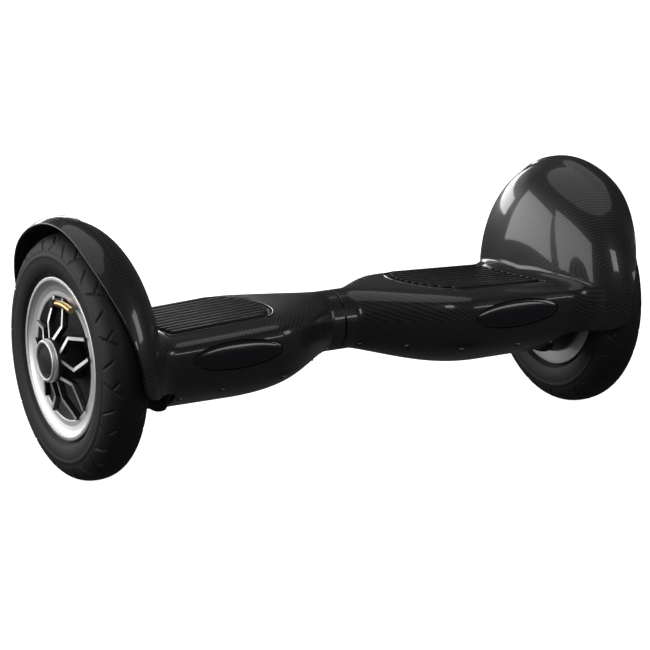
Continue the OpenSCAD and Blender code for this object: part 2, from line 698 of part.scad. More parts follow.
// The pivot tube is fixed in the left half and turns in two bushes in the right half
module pivot_tube() color("silver") side(1) difference() {
    along_x(-tube_left, tube_right, pivot_d / 2);
    along_x(-tube_left - 1, tube_right + 1, pivot_d / 2 - pivot_wall);
    difference() {
        along_x(circlip_x - touch, circlip_x + circlip_t + touch, pivot_d);
        along_x(circlip_x - 1, circlip_x + circlip_t + 1, pivot_d / 2 - groove_depth);
    }
}
module pivot_bushes() color("tan") side(1) difference() {
    union() {
        along_x(boss_x0 - 3.5, boss_x0 - touch, bush_r + 2);
        along_x(boss_x0 - touch, boss_x0 + 16, bush_r);
        along_x(boss_x1 - 16, boss_x1 - 0.5, bush_r);
    }
    along_x(0, boss_x1 + 1, pivot_d / 2 + run_fit);
}
module pivot_retainer() color("gray") side(1)
    ring_x(circlip_x, circlip_x + circlip_t, circlip_r, pivot_d / 2 - groove_depth + touch);
module waist_ring() color("black") side(1) ring_x(-ring_half, ring_half, ring_r, pivot_d / 2 + touch);

// Battery bay in the left half
module battery_pack() color("royalblue") side(-1) {
    on_yz(bay_x0, bay_x1) {
        translate([-pack_half_w, bay_top - pack_h + pack_round])
            square([2 * pack_half_w, pack_h - 2 * pack_round]);
        translate([-pack_half_w + pack_round, bay_top - pack_h])
            square([2 * (pack_half_w - pack_round), pack_h]);
        for (y = [-1, 1]) for (z = [bay_top - pack_h + pack_round, bay_top - pack_round])
            translate([y * (pack_half_w - pack_round), z]) circle(r = pack_round);
    }
    block(bay_x0 - 9, bay_x0 + 1, -8, 8, bay_top - 14, -loom_r - 0.3);
}
module battery_bracket() color("gray") side(-1) difference() {
    union() {
        block(strap_x0, strap_x1, -pack_half_w - strap_t - small, pack_half_w + strap_t + small,
            bay_top - pack_h - strap_t - small, plate_z - touch);
        mirror_y() block(strap_x0, strap_x1, pack_half_w, plate_half_w - 4.5,
            plate_z - strap_t, plate_z - touch);
    }
    block(strap_x0 - 1, strap_x1 + 1, -pack_half_w - small, pack_half_w + small,
        bay_top - pack_h - small, plate_z + 1);
}
// Main board hangs under the right frame
module main_board() color("green") side(1) {
    difference() {
        block(main_x0, board_end_x, -main_half_w, main_half_w, main_z, main_z + board_t);
        mirror_y() for (x = main_post_x) post(x, main_half_w - 6, main_z - 1, main_z + 3, 1.4);
    }
    mirror_y() for (x = main_post_x) difference() {
        post(x, main_half_w - 6, main_z + board_t, plate_z - touch, 3);
        post(x, main_half_w - 6, main_z, plate_z + 1, 1.4);
    }
    block(loom_end + 0.4, main_x0 + 8, -9, 9, main_z + board_t - 0.01, plate_z - 1);
    for (y = [-16, 6]) post(100, y, main_z + board_t - 0.01, main_z + 22, 7);
    block(128, 134, -30, 30, main_z + board_t - 0.01, main_z + 18);
    block(board_end_x - 14, board_end_x - 8.3, -7, 7, main_z + board_t - 0.01, plate_z - 1);
}
module wiring_loom() color("black") side(1) along_x(-tube_left - 22, loom_end, loom_r);
module left_motor_cable() color("black") side(-1)
    along_x(tube_left + 22.3, stator_x0 + 3.5, cable_bore - 1);
module right_motor_cable() color("black") side(1) right_cable_body();
module buzzer() color("black") side(-1) difference() {
    post(104, 0, plate_z + plate_t + touch, plate_z + plate_t + 7, 7);
    post(104, 0, plate_z + plate_t + 5, plate_z + plate_t + 9, 1.5);
}
module power_button() color("gainsboro") side(1)
    along_y(button_x, port_z, button_back + 5.5, body_depth / 2 + 0.6, button_d / 2);
module button_bezel() color("black") side(1) difference() {
    along_y(button_x, port_z, button_back, body_depth / 2 - 0.4, bezel_r);
    along_y(button_x, port_z, button_back + 2, body_depth, button_d / 2 + 0.3);
}
module charge_socket() color("silver") side(1) {
    difference() {
        union() {
            along_y(charge_x, port_z, button_back, flange_y + flange_t, socket_r);
            along_y(charge_x, port_z, flange_y, flange_y + flange_t, socket_r + 1.2);
            for (s = [-1, 1]) translate([charge_x + s * (ear_gap + 1), 0, 0]) {
                block(-1, 1, flange_y, flange_y + flange_t, hinge_z - 6, hinge_z + 1.8);
                block(-1, 1, flange_y, hinge_y + 1.8, hinge_z - 1.8, hinge_z + 1.8);
            }
        }
        along_y(charge_x, port_z, flange_y + flange_t - charge_depth, body_depth, charge_bore_d / 2);
        along_y(charge_x, port_z, button_back + 2, body_depth, charge_bore_d / 2 - 1);
        translate([charge_x - 12, hinge_y, hinge_z]) rotate([0, 90, 0])
            cylinder(r = hinge_pin_r + run_fit, h = 24);
    }
    for (a = [90:120:330]) along_y(charge_x + 3 * cos(a), port_z + 3 * sin(a),
        button_back + 1.9, flange_y + flange_t - charge_depth - 1, 0.9);
}
module port_cap() color("black") side(1) {
    along_y(charge_x, port_z, flange_y + flange_t + 0.3, flange_y + flange_t + 2.6, socket_r);
    block(charge_x - ear_gap + 0.8, charge_x + ear_gap - 0.8, flange_y + flange_t + 0.3,
        flange_y + flange_t + 2.6, port_z + 4, hinge_z);
    translate([charge_x - ear_gap - 1.8, hinge_y, hinge_z]) rotate([0, 90, 0])
        cylinder(r = hinge_pin_r, h = 2 * ear_gap + 3.6);
    translate([charge_x - ear_gap + 0.8, hinge_y, hinge_z]) rotate([0, 90, 0])
        cylinder(r = 1.6, h = 2 * ear_gap - 1.6);
}

left_upper_shell();
right_upper_shell();
left_lower_shell();
right_lower_shell();
left_arch_plate();
right_arch_plate();
left_chassis();
right_chassis();
pivot_tube();
pivot_bushes();
pivot_retainer();
waist_ring();
left_foot_pad();
right_foot_pad();
left_foot_switches();
right_foot_switches();
left_balance_board();
right_balance_board();
left_lamp_lens();
right_lamp_lens();
left_lamp_board();
right_lamp_board();
left_axle();
right_axle();
left_axle_clamp();
right_axle_clamp();
left_clamp_bolts();
right_clamp_bolts();
left_rim();
right_rim();
left_tyre();
right_tyre();
left_inner_tube();
right_inner_tube();
left_valve_stem();
right_valve_stem();
left_motor_covers();
right_motor_covers();
left_stator();
right_stator();
left_magnet_ring();
right_magnet_ring();
left_bearings();
right_bearings();
left_hub_cap();
right_hub_cap();
left_shell_screws();
right_shell_screws();
left_motor_cable();
right_motor_cable();
battery_pack();
battery_bracket();
main_board();
wiring_loom();
buzzer();
power_button();
button_bezel();
charge_socket();
port_cap();
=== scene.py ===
import json
import math
import bmesh
import bpy
import numpy as np
from mathutils import Matrix, Vector


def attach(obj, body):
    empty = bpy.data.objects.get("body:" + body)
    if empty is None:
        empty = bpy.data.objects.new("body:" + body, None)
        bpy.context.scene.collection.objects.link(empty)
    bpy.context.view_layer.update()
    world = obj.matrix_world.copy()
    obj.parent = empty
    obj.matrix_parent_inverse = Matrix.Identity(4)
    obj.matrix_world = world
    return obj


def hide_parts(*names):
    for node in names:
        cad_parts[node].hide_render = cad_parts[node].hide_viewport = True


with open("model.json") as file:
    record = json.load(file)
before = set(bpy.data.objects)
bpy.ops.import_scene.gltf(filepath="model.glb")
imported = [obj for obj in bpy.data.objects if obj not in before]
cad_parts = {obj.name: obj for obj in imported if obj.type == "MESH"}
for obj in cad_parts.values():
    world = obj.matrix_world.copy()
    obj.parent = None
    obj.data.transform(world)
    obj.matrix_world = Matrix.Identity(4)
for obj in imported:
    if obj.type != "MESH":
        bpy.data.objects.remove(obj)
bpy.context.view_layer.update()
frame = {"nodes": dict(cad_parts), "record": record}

MM = 0.001
AXLE_Z = 127.0
WHEEL_X = 296.1
RIM_IN, RIM_OUT = 275.6, 316.6
CROWN_X, CROWN_R = 304.0, 144.3
HUB_FACE = 333.9          # outer face of the wheel's hub ring
HUB_SHADE_X = 327.5       # the hub ring takes the black finish inboard of this, as painted shade
HUB_R = 24
TYRE_R = 127.0
TREAD_R = 125.0
WALL = 3.0                # of a shell
LIP_R = 1.48              # bead that rounds a shell's open edge
SEAM = 0.2
SIDES = {"left": -1, "right": 1}


# ---------------------------------------------------------------- finishes

class Wire:
    """An output socket of a finish's node tree, with arithmetic on it."""

    def __init__(self, paint, socket):
        self.paint, self.socket = paint, socket

    def math(self, kind, *others, clamp=False):
        return self.paint.add("Math", {"operation": kind, "use_clamp": clamp}, self, *others)["Value"]

    def __add__(self, o): return self.math("ADD", o)
    def __sub__(self, o): return self.math("SUBTRACT", o)
    def __mul__(self, o): return self.math("MULTIPLY", o)
    def __truediv__(self, o): return self.math("DIVIDE", o)
    def __mod__(self, o): return self.math("FLOORED_MODULO", o)
    def __lt__(self, o): return self.math("LESS_THAN", o)
    def __gt__(self, o): return self.math("GREATER_THAN", o)
    def __rsub__(self, o): return self.paint.value_math("SUBTRACT", o, self)
    __radd__, __rmul__ = __add__, __mul__


class Made:
    """A node that was added; its outputs are read by name."""

    def __init__(self, paint, node):
        self.paint, self.node = paint, node

    def __getitem__(self, name):
        return Wire(self.paint, next(o for o in self.node.outputs if o.name == name and o.enabled))


class Net:
    """Adds nodes to a tree: type, then settings, then sockets by order or by name."""

    def add(self, kind, settings=None, *values, **named):
        families = ("ShaderNode", "GeometryNode", "FunctionNode")
        prefix = next(p for p in families if hasattr(bpy.types, p + kind))
        node = self.tree.nodes.new(prefix + kind)
        for key, value in (settings or {}).items():
            if key == "stops":
                ramp = node.color_ramp
                while len(ramp.elements) < len(value):
                    ramp.elements.new(0.5)
                for element, (place, colour) in zip(ramp.elements, value):
                    element.position, element.color = place, (*colour, 1)
            else:
                setattr(node, key, value)
        sockets = [i for i in node.inputs if i.enabled]
        pairs = list(zip(sockets, values))
        pairs += [(next(i for i in sockets if i.name == k.replace("_", " ")), v) for k, v in named.items()]
        for socket, value in pairs:
            self.plug(socket, value)
        return Made(self, node)

    def plug(self, socket, value):
        if isinstance(value, Wire):
            self.tree.links.new(value.socket, socket)
        elif value is not None:
            socket.default_value = (*value, 1) if socket.type == "RGBA" and len(value) == 3 else value

    def value_math(self, kind, *values):
        return self.add("Math", {"operation": kind}, *values)["Value"]


class Paint(Net):
    """A material and the few calls that build its nodes."""

    def __init__(self, name):
        self.material = bpy.data.materials.new(name)
        self.material.use_nodes = True
        self.tree = self.material.node_tree
        self.shader = self.tree.nodes["Principled BSDF"]

    def mix(self, factor, a, b):
        return self.add("Mix", {"data_type": "RGBA"}, factor, a, b)["Result"]

    def place(self, scale=(1, 1, 1), turn=(0, 0, 0)):
        where = self.add("TexCoord")["Object"]
        return self.add("Mapping", None, where, Scale=scale, Rotation=turn)["Vector"]

    def noise(self, vector, scale, detail=3, roughness=0.5):
        return self.add("TexNoise", None, Vector=vector, Scale=scale, Detail=detail,
                        Roughness=roughness)["Fac"]

    def step(self, value, low, high):
        return self.add("MapRange", {"interpolation_type": "SMOOTHSTEP"}, Value=value,
                        From_Min=low, From_Max=high)["Result"]

    def bump(self, height, distance, strength=1.0):
        return self.add("Bump", None, Height=height, Distance=distance, Strength=strength)["Normal"]

    def finish(self, colour, roughness, normal=None, **fixed):
        self.plug(self.shader.inputs["Base Color"], colour)
        self.plug(self.shader.inputs["Roughness"], roughness)
        if normal is not None:
            self.plug(self.shader.inputs["Normal"], normal)
        for key, value in fixed.items():
            self.plug(self.shader.inputs[key.replace("_", " ")], value)
        return self.material


class Grow(Net):
    """A geometry tree with named inputs that ends in plain mesh with one finish."""

    def __init__(self, name, **inputs):
        self.tree = bpy.data.node_groups.new(name, "GeometryNodeTree")
        face = self.tree.interface
        face.new_socket("Geometry", in_out="OUTPUT", socket_type="NodeSocketGeometry")
        for label, kind in {"Geometry": "Geometry", "Finish": "Material", **inputs}.items():
            face.new_socket(label.replace("_", " "), in_out="INPUT", socket_type="NodeSocket" + kind)
        self.start = Made(self, self.tree.nodes.new("NodeGroupInput"))

    def __getitem__(self, name):
        return self.start[name]

    def end(self, geometry):
        real = self.add("RealizeInstances", None, geometry)["Geometry"]
        merged = self.add("MergeByDistance", None, Geometry=real, Distance=0.00001)["Geometry"]
        painted = self.add("SetMaterial", None, Geometry=merged, Material=self["Finish"])["Geometry"]
        self.plug(self.tree.nodes.new("NodeGroupOutput").inputs[0], painted)
        return self

    def grown(self, mesh, finish, **values):
        """The tree's result on a mesh, as a plain mesh."""
        seed = bpy.data.objects.new("seed", mesh)
        bpy.context.scene.collection.objects.link(seed)
        live = seed.modifiers.new("tree", "NODES")
        live.node_group = self.tree
        values["Finish"] = FINISH[finish]
        for item in self.tree.interface.items_tree:
            key = item.name.replace(" ", "_")
            if item.in_out == "INPUT" and key in values:
                live[item.identifier] = values[key]
        result = plain(seed).data
        bpy.data.objects.remove(seed)
        return result


def woven_gloss():
    """Printed two by two twill under a clear coat, on the shell's own weave map in metres."""
    p = Paint("twill_under_clear_coat")
    cell = 1 / 0.0012
    uv = p.add("UVMap", {"uv_map": "weave"})["UV"]
    part = p.add("SeparateXYZ", None, uv)
    u, v = part["X"] * cell, part["Y"] * cell
    i, j = u.math("FLOOR"), v.math("FLOOR")
    over = ((i + j) % 4.0) < 2.0
    across_u, across_v = u.math("FRACT"), v.math("FRACT")
    pick = over * across_u + (1 - over) * across_v
    crown = 1 - (pick * 2.0 - 1.0).math("POWER", 2.0)
    along = over * part["Y"] + (1 - over) * part["X"]
    fibre = p.noise(p.add("CombineXYZ", None, pick * 5.0, along * 300.0, over * 7.0)["Vector"], 1.0, 2)
    cloud = p.noise(p.place(), 14.0, 4)
    light = p.step(crown, 0.1, 0.95) * (0.6 + fibre * 0.8)
    shade = over * 0.75 + 0.25
    dark = p.mix(light * shade, (0.0015, 0.0015, 0.0018), (0.052, 0.0525, 0.055))
    worn = p.mix(p.step(cloud, 0.45, 0.75) * 0.25, dark, (0.010, 0.010, 0.011))
    dust = p.noise(p.place(), 420.0, 2)
    normal = p.bump(crown, 0.00006, 0.25)
    return p.finish(worn, 0.30 + dust * 0.12, normal, Coat_Weight=0.85, Coat_Roughness=0.06,
                    Specular_IOR_Level=0.35)


def moulded(name, colour, roughness, grain=0.00006, grain_scale=900.0, patch=0.3, **fixed):
    """Moulded plastic or rubber with a fine spark texture, faint clouds and rubbed places."""
    p = Paint(name)
    where = p.place()
    cloud = p.noise(where, 18.0, 5)
    fine = p.noise(where, grain_scale, 2)
    rub = p.step(p.noise(where, 55.0, 6, 0.65), 0.55, 0.78)
    pale = tuple(min(1.0, c * 1.7 + 0.004) for c in colour)
    shade = p.mix(cloud * patch + rub * 0.22, colour, pale)
    return p.finish(shade, roughness - 0.06 + fine * 0.06 + rub * 0.08, p.bump(fine, grain), **fixed)


def metal(name, colour, roughness, brush=(1, 1, 1), brush_scale=700.0, stain=0.25, cast=0.0, **fixed):
    """Bare or plated metal: brushing along one direction or a cast skin, with stains and scuffs."""
    p = Paint(name)
    lines = p.noise(p.place(scale=brush), brush_scale, 3)
    cloud = p.noise(p.place(), 22.0, 5, 0.6)
    pits = p.step(p.noise(p.place(), 240.0, 3), 0.55, 0.7)
    dull = tuple(c * 0.62 for c in colour)
    shade = p.mix(p.step(cloud, 0.4, 0.8) * stain + pits * cast * 0.4, colour, dull)
    height = lines * 0.6 + pits * cast
    rough = roughness + (cloud - 0.5) * 0.12 + lines * 0.08
    return p.finish(shade, rough, p.bump(height, 0.00004 + 0.0001 * cast), Metallic=1.0, **fixed)


def circuit_board():
    p = Paint("green_board_with_tracks")
    where = p.place()
    tracks = p.add("TexBrick", {"offset": 0.37, "squash": 1.6}, Vector=where, Scale=140.0,
                   Mortar_Size=0.035, Color1=(0.0, 0.0, 0.0), Color2=(0.1, 0.1, 0.1), Mortar=(1, 1, 1))["Fac"]
    pads = p.step(p.add("TexVoronoi", None, Vector=where, Scale=260.0)["Distance"], 0.22, 0.16)
    shade = p.mix(tracks * 0.75, (0.006, 0.075, 0.022), (0.02, 0.19, 0.06))
    shade = p.mix(pads * 0.8, shade, (0.62, 0.60, 0.52))
    return p.finish(shade, 0.32 + pads * 0.15, p.bump(tracks + pads, 0.00008), Coat_Weight=0.4,
                    Coat_Roughness=0.1)


def wound_core():
    p = Paint("laminated_core_with_copper")
    rings = p.add("TexWave", {"bands_direction": "X"}, Vector=p.place(), Scale=900.0, Distortion=0.4)["Fac"]
    where = p.add("SeparateXYZ", None, p.place())
    out = (where["Y"] * where["Y"] + (where["Z"] - 0.127) * (where["Z"] - 0.127)).math("SQRT")
    copper = p.step(out, 0.036, 0.038) * p.step(out, 0.0535, 0.052)
    shade = p.mix(copper, (0.26, 0.26, 0.27), (0.68, 0.25, 0.09))
    shade = p.mix(rings * 0.5, shade, (0.08, 0.06, 0.05))
    return p.finish(shade, 0.35 + rings * 0.15, p.bump(rings, 0.0001), Metallic=0.85)


def lamp_glass():
    p = Paint("smoked_lamp_cover")
    where = p.place()
    cloud = p.noise(where, 30.0, 3)
    flutes = p.add("TexWave", {"bands_direction": "X"}, Vector=where, Scale=170.0)["Fac"]
    shade = p.mix(cloud * 0.5 + flutes * 0.12, (0.007, 0.008, 0.0105), (0.016, 0.018, 0.023))
    return p.finish(shade, 0.16 + cloud * 0.05, p.bump(cloud, 0.00005), Coat_Weight=0.6, Coat_Roughness=0.05)


def cell_wrap():
    p = Paint("shrink_wrapped_cells")
    where = p.place()
    cells = p.add("TexWave", {"bands_direction": "X", "wave_profile": "SIN"}, Vector=where, Scale=17.0)["Fac"]
    crease = p.noise(p.place(scale=(1, 6, 1)), 60.0, 5)
    shade = p.mix(crease * 0.5, (0.012, 0.05, 0.24), (0.03, 0.12, 0.42))
    return p.finish(shade, 0.26 + crease * 0.15, p.bump(cells + crease * 0.3, 0.0012), Coat_Weight=0.3)


FINISH = {
    "shell_plastic": woven_gloss(),
    "inner_plastic": moulded("black_matt_moulding", (0.011, 0.011, 0.012), 0.52),
    "hub_cap": moulded("black_hub_cap", (0.016, 0.017, 0.019), 0.42),
    "cast_alloy": metal("cast_aluminium", (0.60, 0.61, 0.62), 0.42, cast=1.0),
    "rim_alloy": metal("machined_rim", (0.95, 0.955, 0.96), 0.40, brush=(8, 1, 1), stain=0.14),
    "spoke_alloy": metal("cast_spokes", (0.95, 0.955, 0.96), 0.42, stain=0.12, cast=0.25),
    "pad_rubber": moulded("ribbed_pad_rubber", (0.007, 0.007, 0.0075), 0.50, grain=0.00012,
                          grain_scale=600.0),
    "tyre_rubber": moulded("tyre_rubber", (0.006, 0.006, 0.0065), 0.62, grain=0.0001,
                           grain_scale=420.0, patch=0.5),
    "tube_rubber": moulded("soft_tube_rubber", (0.014, 0.014, 0.015), 0.48),
    "steel": metal("brushed_steel", (0.56, 0.565, 0.57), 0.33, brush=(1, 14, 14)),
    "black_steel": moulded("black_painted_steel", (0.006, 0.006, 0.0065), 0.5),
    "motor_steel": metal("blued_magnet_ring", (0.20, 0.205, 0.22), 0.38),
    "winding": wound_core(),
    "brass": metal("valve_brass", (0.80, 0.56, 0.24), 0.26, brush=(14, 1, 14), stain=0.3),
    "bronze": metal("sintered_bronze", (0.55, 0.36, 0.17), 0.45, cast=0.7),
    "board": circuit_board(),
    "switch_plastic": moulded("red_switch_moulding", (0.42, 0.035, 0.028), 0.38),
    "lens": lamp_glass(),
    "cells": cell_wrap(),
    "cable_rubber": moulded("cable_sheath", (0.012, 0.012, 0.013), 0.40),
    "button_plastic": moulded("silver_button", (0.52, 0.53, 0.55), 0.25, patch=0.1,
                              Coat_Weight=0.8, Coat_Roughness=0.05),
}


# ---------------------------------------------------------------- meshes

def piece(name, points, faces, finish, smooth=40.0, uvs=None):
    """A closed mesh in millimetres from the floor's middle, as an object at the origin."""
    mesh = bpy.data.meshes.new(name)
    mesh.from_pydata([tuple(c * MM for c in p) for p in points], [], [tuple(f) for f in faces])
    if uvs is not None:
        layer = mesh.uv_layers.new(name="weave")
        index = np.empty(len(mesh.loops), np.int32)
        mesh.loops.foreach_get("vertex_index", index)
        layer.data.foreach_set("uv", np.asarray(uvs, np.float32)[index].ravel() * MM)
    return shown(name, mesh, finish, smooth)


def shown(name, mesh, finish, smooth=40.0):
    mesh.materials.clear()
    for one in finish if isinstance(finish, (list, tuple)) else [finish]:
        mesh.materials.append(FINISH[one])
    mesh.shade_smooth()
    mesh.set_sharp_from_angle(angle=math.radians(smooth))
    mesh.name = name
    made = bpy.data.objects.new(name, mesh)
    bpy.context.scene.collection.objects.link(made)
    return made


def plain(made):
    """Turns the object's live modifiers into its mesh."""
    bpy.context.view_layer.update()
    graph = bpy.context.evaluated_depsgraph_get()
    mesh = bpy.data.meshes.new_from_object(made.evaluated_get(graph), preserve_all_data_layers=True,
                                           depsgraph=graph)
    made.modifiers.clear()
    made.data = mesh
    return made


def joined(name, parts, finish, smooth=40.0):
    """Several closed meshes as one piece; each keeps its place in the list of finishes."""
    points, faces, slots, start = [], [], [], 0
    for mesh, slot in parts:
        co = np.array([v.co for v in mesh.vertices], float).reshape(-1, 3)
        points += [tuple(c) for c in co]
        faces += [tuple(start + v for v in f.vertices) for f in mesh.polygons]
        slots += [slot] * len(mesh.polygons)
        start += len(co)
    mesh = bpy.data.meshes.new(name)
    mesh.from_pydata(points, [], faces)
    mesh.polygons.foreach_set("material_index", slots)
    keep = list(slots)
    made = shown(name, mesh, finish, smooth)
    mesh.polygons.foreach_set("material_index", keep)
    return made


def grid_faces(rows, cols, wrap_rows=False, wrap_cols=False, flip=False):
    faces = []
    for i in range(rows if wrap_rows else rows - 1):
        for j in range(cols if wrap_cols else cols - 1):
            a, b = i * cols + j, i * cols + (j + 1) % cols
            c, d = ((i + 1) % rows) * cols + (j + 1) % cols, ((i + 1) % rows) * cols + j
            faces.append((a, d, c, b) if flip else (a, b, c, d))
    return faces


def turned(loop, steps):
    """Turns a closed loop of [x, r] points about the axle line."""
    angles = np.arange(steps) * 2 * math.pi / steps
    points = [(x, -r * math.cos(a), AXLE_Z + r * math.sin(a)) for a in angles for x, r in loop]
    return points, grid_faces(steps, len(loop), wrap_rows=True, wrap_cols=True)


def outward(points, faces):
    """Faces in the order that points them outwards, found from the enclosed volume."""
    p = np.asarray(points, float)
    volume = 0.0
    for f in faces:
        for k in range(1, len(f) - 1):
            volume += float(np.dot(p[f[0]], np.cross(p[f[k]], p[f[k + 1]])))
    return faces if volume > 0 else [tuple(reversed(f)) for f in faces]


def rounded(loop, radius, steps=4):
    """A closed 2D loop with its corners rounded by up to the given radius."""
    out, n = [], len(loop)
    for i in range(n):
        p, q, r = (np.array(loop[(i + k) % n], float) for k in (-1, 0, 1))
        d0, d1 = np.linalg.norm(p - q), np.linalg.norm(r - q)
        cut = min(radius, d0 * 0.45, d1 * 0.45)
        a, b = q + (p - q) / d0 * cut, q + (r - q) / d1 * cut
        out += [tuple((1 - t) ** 2 * a + 2 * t * (1 - t) * q + t * t * b) for t in np.linspace(0, 1, steps)]
    return out


def swept(path, radius, sides=10, closed=True):
    """A round bead of the given radius along a path."""
    path = np.asarray(path, float)
    n = len(path)
    ahead, behind = np.roll(path, -1, 0), np.roll(path, 1, 0)
    if not closed:
        ahead[-1], behind[0] = path[-1], path[0]
    tangent = ahead - behind
    tangent /= np.linalg.norm(tangent, axis=1)[:, None]
    points, side = [], None
    for t, c in zip(tangent, path):
        if side is None:
            side = np.cross(t, (0.31, 0.52, 0.79))
        side = side - t * float(side @ t)
        side /= np.linalg.norm(side)
        up = np.cross(t, side)
        points += [tuple(c + radius * (math.cos(k) * side + math.sin(k) * up))
                   for k in np.arange(sides) * 2 * math.pi / sides]
    faces = grid_faces(n, sides, wrap_rows=closed, wrap_cols=True)
    if not closed:
        faces += [tuple(range(sides)), tuple(reversed(range((n - 1) * sides, n * sides)))]
    return points, outward(points, faces)


def solid_mesh(points, faces):
    mesh = bpy.data.meshes.new("part")
    mesh.from_pydata([tuple(c * MM for c in p) for p in points], [],
                     [tuple(f) for f in outward(points, faces)])
    return mesh


def added(made, *meshes):
    """Further closed parts of the same moulding; only the first keeps its weave map."""
    work = bmesh.new()
    for mesh in (made.data, *meshes):
        work.from_mesh(mesh)
    work.to_mesh(made.data)
    work.free()
    made.data.shade_smooth()
    made.data.set_sharp_from_angle(angle=math.radians(40))
    return made


def cut(made, *meshes):
    """Takes closed cutters out of a closed piece."""
    work = bmesh.new()
    for mesh in meshes:
        work.from_mesh(mesh)
    tool_mesh = bpy.data.meshes.new("cutter")
    work.to_mesh(tool_mesh)
    work.free()
    tool = bpy.data.objects.new("cutter", tool_mesh)
    bpy.context.scene.collection.objects.link(tool)
    live = made.modifiers.new("cut", "BOOLEAN")
    live.operation, live.solver, live.object = "DIFFERENCE", "EXACT", tool
    plain(made)
    bpy.data.objects.remove(tool)
    return made


def softened(made, width, segments=3, angle=35):
    """Rounds a piece's sharp edges."""
    live = made.modifiers.new("round", "BEVEL")
    live.width, live.segments, live.limit_method = width * MM, segments, "ANGLE"
    live.angle_limit, live.harden_normals = math.radians(angle), False
    plain(made)
    made.data.shade_smooth()
    made.data.set_sharp_from_angle(angle=math.radians(50))
    return made


def prism(outline, z0, z1):
    """A closed prism over an [x, y] outline."""
    n = len(outline)
    points = [(x, y, z) for z in (z0, z1) for x, y in outline]
    faces = [(i, (i + 1) % n, n + (i + 1) % n, n + i) for i in range(n)]
    return points, faces + [tuple(reversed(range(n))), tuple(range(n, 2 * n))]


# ---------------------------------------------------------------- body curves

def ease(t):
    u = np.clip(t, 0, 1)
    return u * u * (3 - 2 * u)


def lerp(a, b, t):
    return a + (b - a) * t


def swell(x, x1, power):
    return np.sin(math.pi / 2 * np.clip((x - 16) / (x1 - 16), 0, 1)) ** power


def half_depth(x): return lerp(32, 104, swell(x, 121, 1.2))
def deck_h(x): return 32 - 0.046 * np.maximum(0, x - 45)
def belly(x): return lerp(32, 60, swell(x, 150, 1.15))


def squareness(x, up):
    return lerp(2, np.where(up, 4.5, 2.2), np.clip((x - 16) / 74, 0, 1))


def body_r(x, a):
    up = np.sin(a) >= 0
    n, h = squareness(x, up), np.where(up, deck_h(x), belly(x))
    return ((np.abs(np.cos(a)) / half_depth(x)) ** n + (np.abs(np.sin(a)) / h) ** n) ** (-1 / n)


DOME_W, DOME_R0, DOME_POWER, BEAD_H, FOOT_X = 66, 20, 2.3, 3.3, 240
DOME_TOP = CROWN_R - BEAD_H - DOME_R0


def dome_x(p): return CROWN_X - DOME_W * np.abs(np.cos(p)) ** (2 / DOME_POWER)
def dome_r(p): return DOME_R0 + DOME_TOP * np.abs(np.sin(p)) ** (2 / DOME_POWER)
def dome_p(r): return np.arcsin(np.clip((np.maximum(0, r - DOME_R0) / DOME_TOP) ** (DOME_POWER / 2), 0, 1))
def dome_p_at(x): return np.arccos(np.clip((np.maximum(0, CROWN_X - x) / DOME_W) ** (DOME_POWER / 2), 0, 1))
def rise(a): return np.degrees(np.arcsin(np.sin(a)))
def bead(x, a): return BEAD_H * ease((x - 288) / 8) * ease((rise(a) - 30) / 30)
def lip_x(a): return lerp(287, 319, ease((rise(a) + 12) / 72))


def profile(v, a):
    """Distance from the middle and radius about the axle line, v from 0 at the waist to 3 at the lip."""
    rb, deg = body_r(FOOT_X, a), 180 / math.pi
    pi_ = dome_p(rb)
    xi, d = dome_x(pi_), 9 + 11 * np.cos(a) ** 2
    p2 = dome_p(rb + d)
    x0 = xi - d
    xa = lerp(1.5, x0, v)
    t = np.clip(v - 1, 0, 1)
    w0, w1, w2 = (1 - t) ** 2, 2 * t * (1 - t), t * t
    xb = w0 * x0 + w1 * xi + w2 * dome_x(p2)
    rbz = w0 * body_r(x0, a) + w1 * rb + w2 * dome_r(p2)
    lip = lip_x(a)
    run = np.where(lip < CROWN_X, (dome_p_at(lip) - p2) * deg, 90 - p2 * deg + 2 * (lip - CROWN_X))
    w = np.maximum(0, v - 2) * run
    dome = w <= 90 - p2 * deg
    pw = p2 + np.minimum(w, 90 - p2 * deg) / deg
    dx = np.maximum(0, (w - 90 + p2 * deg) / 2)
    xc = np.where(dome, dome_x(pw), CROWN_X + dx)
    rc = np.where(dome, dome_r(pw) + bead(dome_x(pw), a),
                  CROWN_R - BEAD_H + bead(CROWN_X, a) - 5.3 * (dx / 15) ** 2)
    body = body_r(np.minimum(xa, 300), a)
    return (np.where(v <= 1, xa, np.where(v <= 2, xb, xc)),
            np.where(v <= 1, body, np.where(v <= 2, rbz, rc)))


def skin(t, a):
    """A point of the outer face, t from 0 at the waist to 1 at the end of the shell."""
    v = np.where(t < 0.42, t / 0.42, np.where(t < 0.58, 1 + (t - 0.42) / 0.16, 2 + (t - 0.58) / 0.42))
    x, r = profile(v * lerp(3, 1, ease((-6 - rise(a)) / 16)) / 3, a)
    return np.stack([x, -r * np.cos(a), r * np.sin(a)], -1)


def skin_normal(t, a):
    t0, t1 = np.maximum(0, t - 0.002), np.minimum(1, t + 0.002)
    n = np.cross(skin(t, a - 0.004) - skin(t, a + 0.004), skin(t1, a) - skin(t0, a))
    return n / np.linalg.norm(n, axis=-1, keepdims=True)


def bow(y, x, h, n):
    return h * np.maximum(0, 1 - (np.abs(y) / half_depth(x)) ** n) ** (1 / n)


def deck_z(x, y): return bow(y, x, deck_h(x), squareness(x, True))
def belly_z(x, y): return -bow(y, x, belly(x), squareness(x, False))


# ---------------------------------------------------------------- shells

PAD_HALF, PAD_TIP, PAD_END, PAD_NOSE = 71.6, 88.2, 225.0, 34.5
LAMP_X, LAMP_L, LAMP_H = 166.9, 102.4, 29.0
SCREWS = [(20, 22), (58, 56), (107, 86), (178, 86), (223, 80)]


